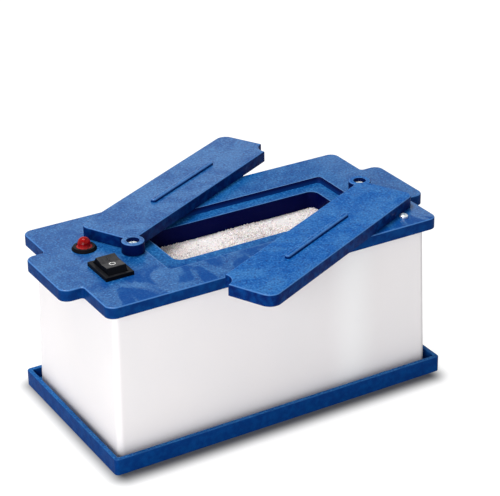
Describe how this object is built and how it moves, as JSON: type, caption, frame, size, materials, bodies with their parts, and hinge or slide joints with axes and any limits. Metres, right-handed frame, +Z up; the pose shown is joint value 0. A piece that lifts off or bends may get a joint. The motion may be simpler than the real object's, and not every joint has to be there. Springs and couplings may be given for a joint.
{
  "type": "sterilizer",
  "caption": "Bench sterilizer with a heated bath of quartz granules, closed by flat lids that swivel sideways on the top plate, with a rocker switch and a pilot lamp.",
  "frame": {"origin": "on the table, under the middle of the base tray", "axes": "+X along the case, away from the switch, +Y to the back, +Z up"},
  "size_m": [0.212, 0.1782, 0.0984],
  "materials": {
    "blue_plate": "mottled blue, satin gloss",
    "blue_tray": "blue, satin gloss",
    "white_case": "white moulded plastic, soft sheen",
    "black_plastic": "black moulded plastic",
    "red_lens": "clear red moulding",
    "zinc_screws": "bright zinc plating",
    "steel_sheet": "drawn stainless steel",
    "brass_blades": "tinned brass",
    "quartz": "loose white quartz granules",
    "mica": "mica sheet",
    "mineral_wool": "pressed mineral wool",
    "ivory_plastic": "ivory moulded plastic",
    "rubber": "black rubber"
  },
  "bodies": {
    "case": {"base_tray": "blue_tray", "housing": "white_case", "top_plate": "blue_plate", "pivot_screws": "zinc_screws", "pivot_washers": "zinc_screws", "pivot_nuts": "zinc_screws", "stop_screws": "zinc_screws", "switch_body": "black_plastic", "switch_terminals": "brass_blades", "lamp_holder": "black_plastic", "lamp_lens": "red_lens", "lamp_nut": "black_plastic", "tank": "steel_sheet", "tank_screws": "zinc_screws", "quartz_bed": "quartz", "heater": "mica", "heater_band": "steel_sheet", "insulation": "mineral_wool", "thermostat": "steel_sheet", "thermal_fuse": "brass_blades", "terminal_block": "ivory_plastic", "inlet_grommet": "rubber", "case_screws": "zinc_screws"},
    "left_lid": {"left_lid": "blue_plate"},
    "right_lid": {"right_lid": "blue_plate"},
    "rocker": {"rocker": "black_plastic"}
  },
  "joints": [
    {"name": "left_lid_pivot", "type": "hinge", "parent": "case", "child": "left_lid", "pos_m": [-0.0568, -0.0008, 0.0904], "axis": [0, 0, 1], "range_deg": [-28, 0]},
    {"name": "right_lid_pivot", "type": "hinge", "parent": "case", "child": "right_lid", "pos_m": [0.0786, -0.0008, 0.0904], "axis": [0, 0, 1], "range_deg": [-26, 2]},
    {"name": "rocker_pivot", "type": "hinge", "parent": "case", "child": "rocker", "pos_m": [-0.0756, -0.0132, 0.0893], "axis": [1, 0, 0], "range_deg": [-8, 0]}
  ]
}
